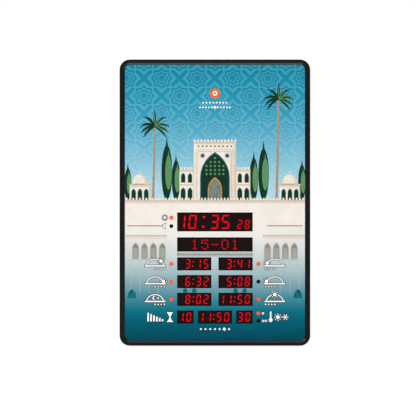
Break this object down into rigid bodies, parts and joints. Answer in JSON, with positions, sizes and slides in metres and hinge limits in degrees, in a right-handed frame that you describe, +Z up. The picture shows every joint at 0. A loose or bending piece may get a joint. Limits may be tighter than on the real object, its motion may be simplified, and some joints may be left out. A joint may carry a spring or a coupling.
{
  "type": "prayer time wall clock",
  "caption": "Framed wall clock with red digit displays for the time, date, daily prayer times and temperature, and set buttons at the back.",
  "frame": {"origin": "centre of the rear cover's back face, where the clock lies against the wall", "axes": "+X to the right as seen from the front, +Y into the wall, +Z up; the displays face -Y"},
  "size_m": [0.333, 0.03, 0.5],
  "materials": {
    "frame_black": "satin black moulding",
    "cover_black": "fine matt texture",
    "panel_plastic": "plain",
    "printed_film": "satin printed film",
    "tape_white": "foam tape",
    "display_face": "dark face with red segments",
    "lit_lamp": "lit lamp",
    "unlit_lamp": "tinted lens, unlit",
    "board_green": "solder mask",
    "component_black": "moulded component",
    "bright_steel": "nickel plated",
    "screw_steel": "zinc plated",
    "magnet_ferrite": "ferrite",
    "cone_paper": "pressed paper",
    "surround_rubber": "soft rubber",
    "cable_grey": "flat cable",
    "key_rubber": "moulded key"
  },
  "bodies": {
    "housing": {"front_frame": "frame_black", "printed_sheet": "printed_film", "front_panel": "panel_plastic", "panel_tape": "tape_white", "clock_display": "display_face", "date_display": "display_face", "isha_display": "display_face", "maghrib_display": "display_face", "asr_display": "display_face", "dhuhr_display": "display_face", "sunrise_display": "display_face", "fajr_display": "display_face", "iqamah_display": "display_face", "jumuah_display": "display_face", "temperature_display": "display_face", "display_board": "board_green", "am_lamp": "lit_lamp", "pm_lamp": "unlit_lamp", "asr_lamp": "lit_lamp", "maghrib_lamp": "lit_lamp", "isha_lamp": "lit_lamp", "fajr_lamp": "lit_lamp", "sunrise_lamp": "unlit_lamp", "dhuhr_lamp": "lit_lamp", "celsius_lamp": "lit_lamp", "fahrenheit_lamp": "unlit_lamp", "remote_receiver": "component_black", "main_board": "board_green", "controller_chip": "component_black", "coin_cell_holder": "component_black", "coin_cell": "bright_steel", "control_board": "board_green", "dc_jack": "component_black", "dc_jack_pin": "bright_steel", "temperature_sensor": "component_black", "menu_switch": "component_black", "up_switch": "component_black", "down_switch": "component_black", "enter_switch": "component_black", "sound_switch": "component_black", "speaker_basket": "bright_steel", "speaker_magnet": "magnet_ferrite", "speaker_surround": "surround_rubber", "display_cable": "cable_grey", "control_cable": "cable_grey", "speaker_cable": "cable_grey", "rear_cover": "cover_black", "cover_screw_1": "screw_steel", "cover_screw_2": "screw_steel", "cover_screw_3": "screw_steel", "cover_screw_4": "screw_steel", "cover_screw_5": "screw_steel", "cover_screw_6": "screw_steel"},
    "menu_button": {"menu_button": "key_rubber"},
    "up_button": {"up_button": "key_rubber"},
    "down_button": {"down_button": "key_rubber"},
    "enter_button": {"enter_button": "key_rubber"},
    "sound_button": {"sound_button": "key_rubber"},
    "speaker_cone": {"speaker_cone": "cone_paper"}
  },
  "joints": [
    {"name": "menu_press", "type": "slide", "parent": "housing", "child": "menu_button", "axis": [0, -1, 0], "range_m": [0, 0.0005], "stiffness_N_per_m": 1000},
    {"name": "up_press", "type": "slide", "parent": "housing", "child": "up_button", "axis": [0, -1, 0], "range_m": [0, 0.0005], "stiffness_N_per_m": 1000},
    {"name": "down_press", "type": "slide", "parent": "housing", "child": "down_button", "axis": [0, -1, 0], "range_m": [0, 0.0005], "stiffness_N_per_m": 1000},
    {"name": "enter_press", "type": "slide", "parent": "housing", "child": "enter_button", "axis": [0, -1, 0], "range_m": [0, 0.0005], "stiffness_N_per_m": 1000},
    {"name": "sound_press", "type": "slide", "parent": "housing", "child": "sound_button", "axis": [0, -1, 0], "range_m": [0, 0.0005], "stiffness_N_per_m": 1000},
    {"name": "cone_beat", "type": "slide", "parent": "housing", "child": "speaker_cone", "axis": [0, 1, 0], "range_m": [-0.0005, 0.0005], "stiffness_N_per_m": 1000}
  ]
}
